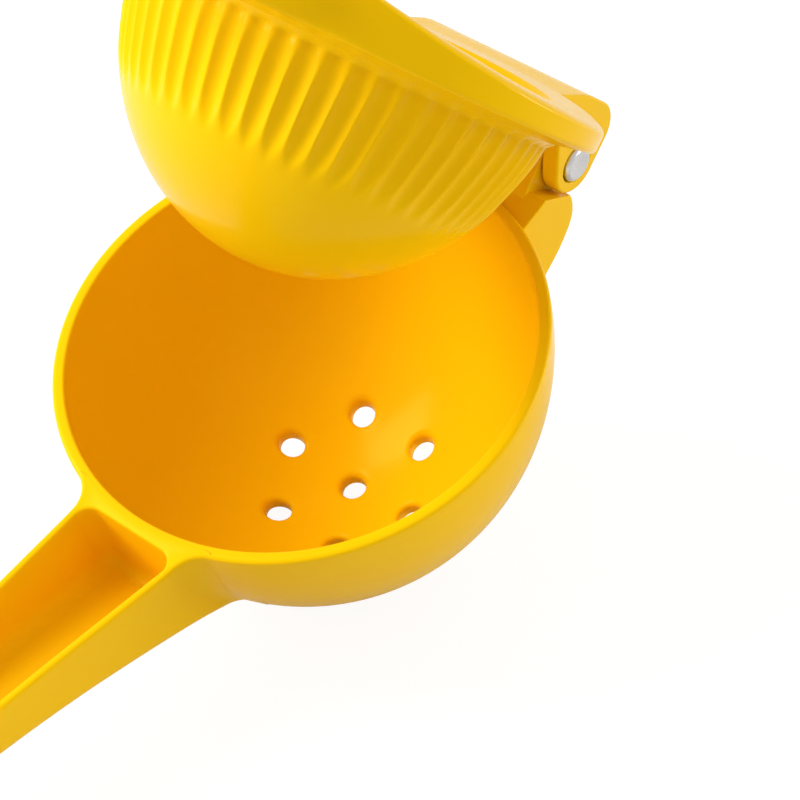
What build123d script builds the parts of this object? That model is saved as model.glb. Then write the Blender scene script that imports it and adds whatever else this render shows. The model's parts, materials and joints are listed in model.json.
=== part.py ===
from build123d import *
import math
import os

# Hinged lemon squeezer: two enamelled aluminium castings joined by one steel pin.
# Everything is drawn closed, in the bowl's own frame: the bowl's axis is Z, its rim plane is z = 0,
# the handles run along +X and the hinge pin lies along Y. The plunger half is then swung open, and
# the whole squeezer is leaned until it stands on the bowl and the end of the lower handle.

# Bowl, in mm
rim_radius = 38.0
rim_wall = 1.95
rim_round = 0.85
rim_inner_round = 0.35
bowl_depth = 43.1
bowl_floor_wall = 2.5

# Drain holes: one in the middle and a ring round it
drain_radius = 2.0
drain_ring_radius = 12.6
drain_ring_count = 6

# Hinge, in the bowl's frame
pivot_x = -48.3
pivot_z = 0.0
pin_radius = 2.9
pin_proud = 0.5
pin_edge = 0.4
running_clearance = 0.05
snug_clearance = 0.01
ear_end_radius = 5.0
ear_outer_y = 16.0
ear_thickness = 3.0
side_clearance = 0.3
lug_radius = 5.0
saddle_clearance = 0.5
hinge_end_x = -53.3
block_top_z = 10.2
block_front_x = -32.0
block_corner = 3.5
bracket_end_x = -45.7
bracket_root_x = -28.0
bracket_outer = [(-45.7, -5.5), (-45.8, -6.8), (-44.9, -9.6), (-42.5, -12.0), (-39.4, -14.2), (-28.0, -19.5)]
lug_web = [(-39.0, 0.0), (-45.7, -5.0), (-36.0, -14.0)]
ear_root_x = -40.1
slot_roof_gap = 1.4
slot_end_x = -38.3

# Flange and press cup, closed
flange_low_z = 3.0
flange_root_z = 1.9
flange_edge_top_z = 6.8
flange_edge_round = 0.8
crown_radius = 31.6
crown_z = 8.6
cup_wall = 2.6
dome_radius = 31.75
dome_centre_z = 5.0
dome_depth = 36.2

# Flutes round the press cup
flute_count = 53
flute_phase = -0.77
flute_radius = 1.55
flute_depth = 0.62
flute_top_z = 0.0
flute_low_z = -14.0

# Handles
handle_tip_x = 167.0
lower_rise = 11.0
rise_start_x = 40.6
channel_start_x = 38.5
channel_wall = 1.3
channel_floor = 3.0
channel_draft = 4.0
channel_corner = 2.5
channel_floor_round = 1.2
cut_height = 30.0
handle_draft = 2.5
root_flare = [(-5.0, 5.0), (-0.5, 2.0), (1.8, 0.65), (4.4, -0.05)]
flare_fade_depth = 35.0
section_heights = [30.0, 0.0, -8.0, -16.0, -24.0, -32.0]
upper_wall = 1.9
upper_roof = 2.4
handle_edge_round = 2.4
top_edge_round = 0.5
tip_angles = [60.0, 30.0]
rib_height = 0.35
rib_width = 1.0
rib_y = -1.3
rib_start_x = 56.0
rib_end_x = 140.0

# Pose
open_angle = 58.4

lower_slope = math.tan(math.radians(lower_rise))
bowl_inner_radius = rim_radius - rim_wall
bowl_inner_depth = bowl_depth - bowl_floor_wall
ear_inner_y = ear_outer_y - ear_thickness
lug_half_width = ear_inner_y - side_clearance
flute_pitch = 360 / flute_count
seam_angle = flute_phase + 8.5 * flute_pitch
room = 80.0
curve_steps = 12
lean_steps = 14

# Lower handle: half-widths from above, and the underside from the side
lower_sides = [(38.5, 10.15), (43.5, 9.75), (52.0, 9.1), (62.6, 8.3)]
lower_sides += [(75.0, 7.6), (95.0, 7.1), (118.0, 7.1), (140.0, 7.7), (156.0, 8.2)]
lower_underside = [(26.0, -24.0), (33.0, -20.6), (38.0, -18.0), (43.0, -15.8), (50.5, -12.8)]
lower_underside += [(58.0, -10.0), (66.0, -7.3), (76.4, -4.1), (100.0, 1.9), (135.0, 9.6), (170.0, 16.4)]

# Upper handle: half-widths from above, its top line and its lower edge from the side
upper_sides = [(20.0, 28.0), (30.0, 20.5), (36.0, 15.0), (41.0, 12.0), (48.0, 10.4), (58.0, 9.4)]
upper_sides += [(75.0, 8.6), (95.0, 8.1), (118.0, 8.0), (140.0, 8.4), (156.0, 8.8)]
upper_top = [(-20.0, 5.4), (-8.0, 5.6), (2.0, 6.2), (10.0, 6.9), (17.0, 7.6), (23.5, 8.4), (29.0, 9.6)]
upper_top += [(34.0, 11.2), (41.0, 13.5), (50.0, 16.0), (75.0, 22.4), (100.0, 28.8), (135.0, 38.0), (170.0, 47.2)]
upper_low = [(42.0, 3.0), (48.0, 3.4), (54.0, 4.6), (62.0, 6.8), (75.0, 10.6), (100.0, 18.0)]
upper_low += [(135.0, 28.6), (170.0, 39.2)]


def side_extrusion(outline, half_width):
    """A side view given as edges in X and Z, made half_width thick to each side."""
    return side_block(make_face(outline), half_width)


def side_block(face, half_width):
    """A face in X and Z made half_width thick to each side."""
    return Pos(0, half_width, 0) * extrude(Plane.XZ * face, amount=2 * half_width)


def ellipse_curve(radius, depth, centre_z, top_z):
    """Quarter of an ellipse from its lowest point up to top_z, in the plane of X and Z."""
    top_angle = math.asin((top_z - centre_z) / depth)
    quarter = math.pi / 2
    turns = [(top_angle + quarter) * step / curve_steps - quarter for step in range(curve_steps + 1)]
    points = [(radius * math.cos(turn), centre_z + depth * math.sin(turn)) for turn in turns]
    points[0] = (0, centre_z - depth)
    end_tangent = (-radius * math.sin(top_angle), depth * math.cos(top_angle))
    return Spline(*points, tangents=[(1, 0), end_tangent])


def turned(face):
    """A profile in X and Z turned about Z, its seam kept clear of the handles, holes and flutes."""
    return Rot(0, 0, seam_angle) * revolve(Plane.XZ * face, Axis.Z)


def half_ellipse_solid(radius, depth, centre_z, top_z):
    """A round bowl shape: the lower half of an ellipse turned about Z, and straight up to top_z."""
    outline = [ellipse_curve(radius, depth, centre_z, centre_z)]
    if top_z > centre_z:
        outline.append(Line((radius, centre_z), (radius, top_z)))
    outline.append(Line((radius, top_z), (0, top_z)))
    outline.append(Line((0, top_z), (0, centre_z - depth)))
    return turned(make_face(outline))


def handle_outline(near, tip_x):
    """A handle's outline in one plane: up one side from the root, round the tip, and back."""
    tip_radius = near[-1][1]
    turns = [math.radians(angle) for angle in tip_angles]
    tip = [(tip_x - tip_radius * (1 - math.cos(turn)), tip_radius * math.sin(turn)) for turn in turns]
    side = near + tip
    far = [(x, -y) for x, y in reversed(side)]
    return make_face([Spline(*side, (tip_x, 0), *far), Line(near[0], far[-1])])


def handle_plan(sides, inset, start_x, tip_x):
    """The upper handle seen from above: both sides drawn in by inset, with a round tip."""
    return handle_outline([(x, y - inset) for x, y in sides if x >= start_x], tip_x)


def bowl_edge_x(height):
    """Where the handle's side meets the bowl, at a height over the handle's top edges."""
    side_y = lower_sides[0][1]
    edge_x = channel_start_x
    for _ in range(20):
        z = min(height + (edge_x - rise_start_x) * lower_slope, 0)
        radius = rim_radius * math.sqrt(1 - (z / bowl_depth) ** 2)
        edge_x = math.sqrt(radius * radius - side_y * side_y)
    return edge_x


def across_lower_handle(stations, inset, height):
    """Outline across the lower handle, drawn in by inset, at a height over its top edges."""
    rise = math.radians(lower_rise)
    along = 1 / math.cos(rise)
    plane = Plane(
        origin=(rise_start_x, 0, 0),
        x_dir=(math.cos(rise), 0, math.sin(rise)),
        z_dir=(-math.sin(rise), 0, math.cos(rise)),
    )
    near = [((x - rise_start_x) * along, y - inset) for x, y in stations]
    face = handle_outline(near, (handle_tip_x - rise_start_x) * along - inset)
    return plane * Pos(0, 0, height) * face


def flared_section(height):
    """Section of the lower handle's body, its root flared to run into the bowl."""
    edge_x = bowl_edge_x(height)
    root_y = lower_sides[0][1]
    share = min(1 + height / flare_fade_depth, 1)
    flare = [(edge_x + along, root_y + share * out) for along, out in root_flare]
    inset = -height * math.tan(math.radians(handle_draft))
    return across_lower_handle(flare + lower_sides[1:], inset, height)


def lower_handle():
    """Outer body of the lower handle, with a level deck as far as rise_start_x."""
    end_x = lower_underside[-1][0]
    end_z = (end_x - rise_start_x) * lower_slope
    root_x = lower_underside[0][0]
    outline = [
        Line((root_x, 0), (rise_start_x, 0)),
        Line((rise_start_x, 0), (end_x, end_z)),
        Line((end_x, end_z), lower_underside[-1]),
        Spline(*lower_underside),
        Line(lower_underside[0], (root_x, 0)),
    ]
    body = loft([flared_section(height) for height in section_heights])
    body &= side_extrusion(outline, room)
    underside = body.faces().filter_by(lambda face: face.normal_at().Z < -0.7)[0]
    body = fillet(underside.edges().sort_by(Axis.X)[1:], handle_edge_round)
    top_edges = body.edges().filter_by(is_on_rising_edge)
    return fillet(top_edges, top_edge_round)


def is_on_rising_edge(edge):
    """Whether an edge lies in the plane of the handle's rising top edges."""
    middle = edge @ 0.5
    height = middle.Z - (middle.X - rise_start_x) * lower_slope
    return middle.X > rise_start_x + 0.1 and abs(height) < 0.02


def lower_channel():
    """The open channel in the lower handle, with drafted walls."""
    draw = cut_height * math.tan(math.radians(channel_draft))
    sections = []
    for inset, height in ((channel_wall - draw, cut_height), (channel_wall + draw, -cut_height)):
        face = across_lower_handle(lower_sides, inset, height)
        ends = face.vertices().sort_by(Axis.X)[:2]
        sections.append(fillet(ends, channel_corner))
    floor = [(x, z + channel_floor) for x, z in lower_underside]
    above = [
        Spline(*floor),
        Line(floor[-1], (floor[-1][0], room)),
        Line((floor[-1][0], room), (floor[0][0], room)),
        Line((floor[0][0], room), floor[0]),
    ]
    channel = loft(sections, ruled=True) & side_extrusion(above, room)
    floor_face = channel.faces().filter_by(lambda face: face.normal_at().Z < -0.7)[0]
    return fillet(floor_face.edges(), channel_floor_round)


def floor_rib():
    """A low raised line along the channel's floor."""
    stations = [(x, z) for x, z in lower_underside if rib_start_x < x < rib_end_x]
    low = [(x, z + channel_floor - rib_height) for x, z in stations]
    high = [(x, z + channel_floor + rib_height) for x, z in stations]
    outline = [Spline(*low), Spline(*high), Line(low[0], high[0]), Line(low[-1], high[-1])]
    return Pos(0, rib_y, 0) * side_extrusion(outline, rib_width / 2)


def ear_outline(spread):
    """Side view of one hinge ear: the round end about the pin and its root, grown by spread."""
    low_z = flange_root_z - 0.2 - spread
    end = Pos(pivot_x, pivot_z) * Circle(ear_end_radius + spread)
    right_x = ear_root_x + spread
    left_x = hinge_end_x - spread
    top_z = block_top_z + spread
    root = Pos((left_x + right_x) / 2, (low_z + top_z) / 2) * Rectangle(right_x - left_x, top_z - low_z)
    return make_hull(end.edges() + root.edges())


def bracket():
    """Bracket on the bowl below the hinge, with a lug for the pin and a saddle below each ear."""
    arm = [
        Line((bracket_root_x, 0), (bracket_end_x, 0)),
        Line((bracket_end_x, 0), bracket_outer[0]),
        Spline(*bracket_outer),
        Line(bracket_outer[-1], (bracket_root_x, 0)),
    ]
    arm_body = side_extrusion(arm, ear_outer_y)
    saddle = side_block(ear_outline(saddle_clearance), ear_outer_y + 1)
    saddle -= side_block(ear_outline(2 * saddle_clearance), lug_half_width)
    knuckle = Pos(pivot_x, pivot_z) * Circle(lug_radius)
    lug_face = make_hull(knuckle.edges() + Polygon(*lug_web, align=None).edges())
    lug = side_block(lug_face, lug_half_width)
    return arm_body - saddle + lug


def drain_cutters():
    """Straight holes through the bowl's floor along its axis."""
    hole = Pos(0, 0, -bowl_depth) * Cylinder(drain_radius, room / 2)
    ring = PolarLocations(drain_ring_radius, drain_ring_count, start_angle=30)
    return [hole] + [place * hole for place in ring]


def pin_bore(radius, length):
    return Pos(pivot_x, 0, pivot_z) * Rot(90, 0, 0) * Cylinder(radius, length)


def rim_arcs(half, radius):
    """The arcs of one rim circle that are left between the handle and the bracket."""
    arcs = half.edges().filter_by(GeomType.CIRCLE)
    return arcs.filter_by(lambda arc: abs(arc.radius - radius) < 0.01 and abs(arc.center().Z) < 0.01)


def make_bowl_half():
    bowl = half_ellipse_solid(rim_radius, bowl_depth, 0, 0)
    cavity = half_ellipse_solid(bowl_inner_radius, bowl_inner_depth, 0, room)
    half = bowl + lower_handle()
    half -= lower_channel()
    half += floor_rib()
    half += bracket()
    half -= cavity
    half = fillet(rim_arcs(half, rim_radius), rim_round)
    half = fillet(rim_arcs(half, bowl_inner_radius), rim_inner_round)
    half -= drain_cutters()
    half -= pin_bore(pin_radius + running_clearance, room)
    return half


def press_cup():
    """Flange, crown and press cup, turned about the cup's axis."""
    inner_radius = dome_radius - cup_wall
    inner_depth = dome_depth - cup_wall
    root_z = flange_root_z - 0.4
    root_x = dome_radius_at(root_z)
    outline = [
        ellipse_curve(dome_radius, dome_depth, dome_centre_z, root_z),
        Line((root_x, root_z), (dome_radius + 1.2, flange_root_z)),
        Line((dome_radius + 1.2, flange_root_z), (rim_radius, flange_low_z)),
        Line((rim_radius, flange_low_z), (rim_radius, flange_edge_top_z)),
        Spline((rim_radius, flange_edge_top_z), (34.6, 8.0), (crown_radius, crown_z)),
        Line((crown_radius, crown_z), (inner_radius, crown_z)),
        Line((inner_radius, crown_z), (inner_radius, dome_centre_z)),
        ellipse_curve(inner_radius, inner_depth, dome_centre_z, dome_centre_z),
        Line((0, dome_centre_z - inner_depth), (0, dome_centre_z - dome_depth)),
    ]
    profile = make_face(outline)
    rim_corners = profile.vertices().filter_by(lambda corner: abs(corner.X - rim_radius) < 0.01)
    return turned(fillet(rim_corners, flange_edge_round))


def dome_radius_at(z):
    return dome_radius * math.sqrt(1 - ((z - dome_centre_z) / dome_depth) ** 2)


def flutes():
    """Round-ended grooves down the side of the press cup, fading out towards its nose."""
    top_x = dome_radius_at(flute_top_z) + flute_radius - flute_depth
    low_x = dome_radius_at(flute_low_z) + flute_radius
    length = math.hypot(top_x - low_x, flute_top_z - flute_low_z)
    lean = math.degrees(math.atan2(top_x - low_x, flute_top_z - flute_low_z))
    groove = Pos(0, 0, -length / 2) * Cylinder(flute_radius, length) + Sphere(flute_radius)
    groove = Pos(top_x, 0, flute_top_z) * Rot(0, lean, 0) * groove
    return [Rot(0, 0, flute_phase + step * flute_pitch) * groove for step in range(flute_count)]


def upper_body():
    """Flange plate and upper handle together, from their plan and their side view."""
    plan = handle_plan(upper_sides, 0, upper_sides[0][0], handle_tip_x) + Circle(rim_radius)
    body_low_z = flange_low_z + flange_edge_round + 0.2
    outline = [
        Line((-room, upper_top[0][1]), upper_top[0]),
        Spline(*upper_top),
        Line(upper_top[-1], upper_low[-1]),
        Spline(*upper_low),
        Line(upper_low[0], (rim_radius - 1, upper_low[0][1])),
        Line((rim_radius - 1, upper_low[0][1]), (rim_radius - 3, body_low_z)),
        Line((rim_radius - 3, body_low_z), (-room, body_low_z)),
        Line((-room, body_low_z), (-room, upper_top[0][1])),
    ]
    body = extrude(plan, amount=room, both=True) & side_extrusion(outline, room)
    return body


def upper_channel():
    """Hollow of the upper handle, open on the side that faces the lower handle."""
    plan = handle_plan(upper_sides, upper_wall, channel_start_x + 2, handle_tip_x - upper_wall)
    roof = [(x, z - upper_roof) for x, z in upper_top if x > 30]
    under = [
        Spline(*roof),
        Line(roof[-1], (roof[-1][0], -room)),
        Line((roof[-1][0], -room), (roof[0][0], -room)),
        Line((roof[0][0], -room), roof[0]),
    ]
    return extrude(plan, amount=room, both=True) & side_extrusion(under, room)


def hinge_block():
    """Block over the hinge with an ear at each end and a slot for the bowl's lug."""
    height = block_top_z - flange_low_z
    span = block_front_x - hinge_end_x
    middle = (hinge_end_x + block_front_x) / 2
    slab = Pos(middle, flange_low_z + height / 2) * Rectangle(span, height)
    profile = slab + ear_outline(0)
    corner = profile.vertices().filter_by(
        lambda point: abs(point.X - hinge_end_x) < 0.01 and abs(point.Y - block_top_z) < 0.01
    )
    profile = fillet(corner, block_corner)
    block = side_block(profile, ear_outer_y)
    slot_top = pivot_z + lug_radius + slot_roof_gap
    slot = Pos(slot_end_x - room / 2, slot_top - room / 2) * Rectangle(room, room)
    return block - side_block(slot, ear_inner_y)


def make_plunger_half():
    cup = press_cup()
    cup_cavity = half_ellipse_solid(dome_radius - cup_wall, dome_depth - cup_wall, dome_centre_z, room)
    half = upper_body() + hinge_block() - cup_cavity
    half += cup
    half -= upper_channel()
    half -= flutes()
    half -= pin_bore(pin_radius + snug_clearance, room)
    return half


def make_pin():
    pin = pin_bore(pin_radius, 2 * (ear_outer_y + pin_proud))
    return chamfer(pin.edges(), pin_edge)


def resting_lean(half):
    """Degrees the bowl half leans so that the bowl and the handle's end touch the table together."""
    beyond_bowl = Pos(handle_tip_x, 0, 0) * Box(room, room, 2 * room)
    handle_end = half & beyond_bowl
    low = 0.0
    high = 45.0
    for _ in range(lean_steps):
        middle = (low + high) / 2
        turn = math.radians(middle)
        bowl_reach = math.hypot(rim_radius * math.sin(turn), bowl_depth * math.cos(turn))
        end_reach = -(Rot(0, middle, 0) * handle_end).bounding_box().min.Z
        if end_reach < bowl_reach:
            low = middle
        else:
            high = middle
    return low


bowl_half = make_bowl_half()
swing = Pos(pivot_x, 0, pivot_z) * Rot(0, -open_angle, 0) * Pos(-pivot_x, 0, -pivot_z)
plunger_half = swing * make_plunger_half()
hinge_pin = swing * make_pin()

lean_angle = resting_lean(bowl_half)
lean = Rot(0, lean_angle, 0)
box = (lean * Compound([bowl_half, plunger_half, hinge_pin])).bounding_box()
stand = Pos(-box.center().X, -box.center().Y, -box.min.Z) * lean

os.makedirs("parts", exist_ok=True)
export_step(stand * bowl_half, "parts/bowl_half.step")
export_step(stand * plunger_half, "parts/plunger_half.step")
export_step(stand * hinge_pin, "parts/hinge_pin.step")
pivot = stand * Pos(pivot_x, 0, pivot_z)
print("leans", lean_angle, "degrees, hinge at", pivot.position, "rim centre at", stand.position)
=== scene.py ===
import json
import math

import bmesh
import bpy
import numpy as np
from mathutils import Matrix


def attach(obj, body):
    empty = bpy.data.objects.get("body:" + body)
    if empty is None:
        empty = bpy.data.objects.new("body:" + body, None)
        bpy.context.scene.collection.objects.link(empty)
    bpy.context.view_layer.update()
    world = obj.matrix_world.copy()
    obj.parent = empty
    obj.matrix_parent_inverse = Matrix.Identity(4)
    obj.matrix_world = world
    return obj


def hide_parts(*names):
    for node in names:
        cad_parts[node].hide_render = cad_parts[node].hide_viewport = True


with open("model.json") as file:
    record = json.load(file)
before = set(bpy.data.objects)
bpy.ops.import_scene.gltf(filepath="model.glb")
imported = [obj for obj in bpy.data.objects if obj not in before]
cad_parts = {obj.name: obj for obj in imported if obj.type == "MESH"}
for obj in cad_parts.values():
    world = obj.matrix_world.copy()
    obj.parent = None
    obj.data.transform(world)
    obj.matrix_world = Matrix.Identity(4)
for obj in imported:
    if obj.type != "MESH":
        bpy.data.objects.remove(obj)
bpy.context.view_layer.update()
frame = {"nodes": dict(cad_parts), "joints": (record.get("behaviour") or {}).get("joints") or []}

# %% [markdown]
# # A hinged lemon squeezer
# The squeezer is two aluminium castings under thick yellow enamel, and one steel pin. This lesson
# builds every visible surface from formulas, so that the gloss runs over them without a facet.
# The first cell loads the measured model and keeps its size. The dressed one must not outgrow it.

# %% [markdown]
# ## Where things are
# The sizes below are in millimetres. They are given for the squeezer while it is closed and level:
# the bowl's rim lies at height 0, its axis is Z, and the handles run along X. Two turns then put
# each point where it rests: the plunger half swings open about the pin, and both halves lean until
# the bowl and the handle's end touch the table.

# %% Sizes and the two turns
RIM = 38.0           # outer radius of the bowl at its rim
RIM_WALL = 1.95      # wall at the rim
BOWL_DEPTH = 43.1    # rim to the outside of the bowl's bottom
FLOOR_WALL = 2.5     # wall at the bottom
HOLE = 2.0           # radius of a drain hole
HOLE_RING = 12.6     # middle hole to each of the six round it
TIP_X = 167.0        # end of both handles
HAIR = 0.02          # keeps two faces from lying in one plane
PIVOT = np.array([-48.3, 0.0, 0.0])
OPEN_ANGLE = math.radians(58.4)
LEAN_ANGLE = math.radians(20.14892578125)


def turn_about_y(angle):
    """Matrix that tips +Z towards +X: x' = x cos + z sin, z' = z cos - x sin."""
    c, s = math.cos(angle), math.sin(angle)
    return np.array([[c, 0, s], [0, 1, 0], [-s, 0, c]])


LEAN = turn_about_y(LEAN_ANGLE)
SWING = turn_about_y(-OPEN_ANGLE)
hinge = np.array(frame["joints"][0]["pos_m"]) * 1000
RIM_CENTRE = hinge - LEAN @ PIVOT


def placed(points, opened):
    """Points in the row's frame, in metres: swung open about the pin if asked, then leaned."""
    if opened:
        points = (points - PIVOT) @ SWING.T + PIVOT
    return (points @ LEAN.T + RIM_CENTRE) / 1000


print("rim centre", RIM_CENTRE.round(3))

# %% [markdown]
# ## Curves
# A casting's long lines are free curves that were filed by eye. Each is given here by a few knots
# and a curve through them that bends as little as it can. Where one shape hands over to another,
# a soft switch goes from 1 to 0, because a hard one would show as a crease in the gloss. Edges
# are quarter rounds, and rows of points are what every grid is stacked from.

# %% Curves, a soft switch, round edges and rows
def natural_curve(knots, values, at):
    """Cubic curve through the knots: the bending is zero at both ends and continuous between."""
    x, y = np.asarray(knots, float), np.asarray(values, float)
    n = len(x)
    h = np.diff(x)
    rows = np.zeros((n, n))
    right = np.zeros(n)
    rows[0, 0] = rows[-1, -1] = 1
    k = np.arange(1, n - 1)
    rows[k, k - 1], rows[k, k], rows[k, k + 1] = h[:-1], 2 * (h[:-1] + h[1:]), h[1:]
    right[1:-1] = 6 * ((y[2:] - y[1:-1]) / h[1:] - (y[1:-1] - y[:-2]) / h[:-1])
    m = np.linalg.solve(rows, right)
    at = np.asarray(at, float)
    i = np.clip(np.searchsorted(x, at) - 1, 0, n - 2)
    t, step = at - x[i], h[i]
    slope = (y[i + 1] - y[i]) / step - step * (2 * m[i] + m[i + 1]) / 6
    inner = y[i] + t * (slope + t * (m[i] / 2 + t * (m[i + 1] - m[i]) / (6 * step)))
    low = y[0] + (at - x[0]) * ((y[1] - y[0]) / h[0] - h[0] * m[1] / 6)
    end_slope = (y[-1] - y[-2]) / h[-1] + h[-1] * m[-2] / 6
    high = y[-1] + (at - x[-1]) * end_slope
    return np.where(at < x[0], low, np.where(at > x[-1], high, inner))


def ahead_of(x, place, softness):
    """1 ahead of a place and 0 past it: one over one plus e to (x - place) / softness."""
    return 1 / (1 + np.exp((x - place) / softness))


def moved_square(x, y, move, start):
    """A path moved square to itself: along its slope turned by a quarter, never past y = 0.

    The slope at its start is given, and at its end it runs across X."""
    dx, dy = np.gradient(x), np.gradient(y)
    dx[0], dy[0] = start
    dx[-1], dy[-1] = 0, -1
    length = np.hypot(dx, dy)
    return x + move * dy / length, np.maximum(y - move * dx / length, 0)


def quarter(degrees):
    """Pairs of one less the sine and one less the cosine of each turn, which make a round edge."""
    turns = np.radians(degrees)
    return np.stack([1 - np.sin(turns), 1 - np.cos(turns)], axis=-1).tolist()


def row_of(x, y, z):
    """A row of points: x, y and z side by side, where a single z stands for the whole row."""
    return np.stack(np.broadcast_arrays(x, y, z), axis=-1)


def circle_row(reach, turn, z):
    """A row on a circle about Z: reach times the cosine and the sine of the turn."""
    return row_of(reach * np.cos(turn), reach * np.sin(turn), z)


FIVE_TURNS = [18, 36, 54, 72, 90]
print("a round edge starts at", quarter([0])[0], "and ends at", quarter([90])[0])

# %% [markdown]
# ## From grids to a mesh
# Every surface here is a grid of points: rows run one way over it and columns the other. A grid
# becomes a mesh by joining each point with its neighbours in four-sided faces. Several grids that
# share an edge become one skin when points that coincide are merged, and only then can Blender
# tell inside from outside.

# %% Faces, skins and what a finished piece is told
MERGE = 0.004 / 1000
SLIVER = 1e-7


def grid_faces(rows, columns, wrap=False):
    """Four-sided faces of a grid: each point, the next in its row, and the two below them."""
    r, c = np.meshgrid(np.arange(rows - 1), np.arange(columns - (0 if wrap else 1)), indexing="ij")
    r, c = r.ravel(), c.ravel()
    after = (c + 1) % columns
    return np.stack([r * columns + c, r * columns + after, (r + 1) * columns + after,
                     (r + 1) * columns + c], axis=1)


def both_sides(grid):
    """The grid, and the grid mirrored in the plane through the handles: y becomes minus y."""
    return [grid, grid * np.array([1, -1, 1])]


def outward_piece(name, points, faces, merge):
    """One smooth object from points in metres and faces, which are turned outwards."""
    mesh = bpy.data.meshes.new(name)
    mesh.from_pydata(points, [], faces)
    work = bmesh.new()
    work.from_mesh(mesh)
    if merge:
        bmesh.ops.remove_doubles(work, verts=work.verts, dist=MERGE)
        bmesh.ops.dissolve_degenerate(work, edges=work.edges, dist=SLIVER)
    bmesh.ops.recalc_face_normals(work, faces=work.faces)
    work.to_mesh(mesh)
    open_edges = sum(1 for edge in work.edges if len(edge.link_faces) != 2)
    work.free()
    mesh.shade_smooth()
    piece = bpy.data.objects.new(name, mesh)
    bpy.context.scene.collection.objects.link(piece)
    print(name, "faces", len(mesh.polygons), "open edges", open_edges)
    return piece


def skin(name, grids, opened):
    """One object from several grids of points in mm, merged where they meet."""
    points, faces, start = [], [], 0
    for grid in grids:
        rows, columns = grid.shape[:2]
        points.append(grid.reshape(-1, 3))
        faces.append(grid_faces(rows, columns) + start)
        start += rows * columns
    return outward_piece(name, placed(np.vstack(points), opened), np.vstack(faces).tolist(), True)


pieces = {}


def wear(piece, body, node):
    """The piece moves with a body, is listed for its material, and stands in for a measured node."""
    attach(piece, body)
    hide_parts(node)
    pieces[piece.name] = piece


# %% [markdown]
# ## The bowl
# The real bowl is cast with walls two millimetres thick and seven drilled holes whose lips are
# softened by the enamel. Cutting holes with a boolean would leave ragged shading round each one.
# The holes sit on a honeycomb, so each gets a six-sided cell of its own: a grid that runs from the
# cell's border, over the rounded lip and down the hole. Cells join without a seam, and plain rings
# carry on from their outer border up to the rim.

# %% One drilled cell of the bowl
INNER_RIM = RIM - RIM_WALL
INNER_DEPTH = BOWL_DEPTH - FLOOR_WALL
SIDE_STEPS = 14
HOLE_LIP = 1.0
HOLE_UNDER_LIP = 0.3


def bowl_height(x, y, radius, depth):
    """Height of an ellipsoid's lower half: minus depth times the root of 1 - (r / radius)^2."""
    share = np.clip(1 - (x * x + y * y) / radius**2, 0, None)
    return -depth * np.sqrt(share)


def cell_border(angle):
    """Distance from a cell's middle to its border: the half pitch over the cosine to the side."""
    return HOLE_RING / 2 / np.cos(np.radians((np.degrees(angle) % 60) - 30))


def drilled_cell(middle_x, middle_y):
    """Grid from the cell's inner border, over both lips of the hole, to its outer border."""
    angle = np.radians(np.arange(6 * SIDE_STEPS + 1) * 60 / SIDE_STEPS)
    border = cell_border(angle)
    rows = []

    def row(reach, radius, depth, lift):
        """A ring round the hole on one of the bowl's two ellipsoids, lifted off it."""
        x = middle_x + reach * np.cos(angle)
        y = middle_y + reach * np.sin(angle)
        rows.append(row_of(x, y, bowl_height(x, y, radius, depth) + lift))

    for t in np.linspace(0, 1, 7):
        row(border * (1 - t) + (HOLE + HOLE_LIP) * t, INNER_RIM, INNER_DEPTH, 0.0)
    for off_sine, off_cosine in quarter(FIVE_TURNS):
        row(HOLE + HOLE_LIP * off_sine, INNER_RIM, INNER_DEPTH, -HOLE_LIP * off_cosine)
    for off_sine, off_cosine in quarter([90, 60, 30]):
        row(HOLE + HOLE_UNDER_LIP * off_sine, RIM, BOWL_DEPTH, HOLE_UNDER_LIP * off_cosine)
    for t in np.linspace(0, 1, 5):
        row((HOLE + HOLE_UNDER_LIP) * (1 - t) + border * t, RIM, BOWL_DEPTH, 0.0)
    return np.array(rows)


cell_angles = np.radians(30 + 60 * np.arange(6))
cells = [drilled_cell(0, 0)]
cells += [drilled_cell(HOLE_RING * math.cos(a), HOLE_RING * math.sin(a)) for a in cell_angles]
print("cells", len(cells), "rows and columns", cells[0].shape[:2])

# %% [markdown]
# ## From the honeycomb to the rim
# The honeycomb's border is a zigzag. A few rings ease it into a full circle, and from there on
# the bowl is spun: up the inside, over two small rounds at the rim, and down the outside to the
# same zigzag. The rows follow equal turns, not equal heights, so they crowd where it is steep.

# %% The bowl's rings and its skin
FIRST_RING = 23.0
RIM_LIP_IN = 0.45
RIM_LIP_OUT = 0.65
outer_turn = np.radians(np.arange(-90, 90, 60 / SIDE_STEPS))
border = np.concatenate([circle_row(cell_border(outer_turn + a), outer_turn + a, 0)
                         + HOLE_RING * np.array([math.cos(a), math.sin(a), 0]) for a in cell_angles])
border_x, border_y = border[:, 0], border[:, 1]
columns = len(border)
even_angle = np.radians(np.arange(columns) * 360 / columns)
border_angle = np.unwrap(np.arctan2(border_y, border_x))
border_reach = np.hypot(border_x, border_y)


def border_ring(t, radius, depth):
    """Row between the honeycomb's border, t = 0, and the first full circle, t = 1."""
    angle = border_angle * (1 - t) + even_angle * t
    reach = border_reach * (1 - t) + FIRST_RING * t
    return circle_row(reach, angle, bowl_height(reach, 0, radius, depth))


def spun_wall(radius, depth, last, steps):
    """Rows on an ellipsoid from the first full circle to the last turn, in degrees."""
    turns = np.linspace(math.asin(FIRST_RING / radius), math.radians(last), steps)
    return [circle_row(radius * math.sin(turn), even_angle, -depth * math.cos(turn)) for turn in turns]


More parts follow.
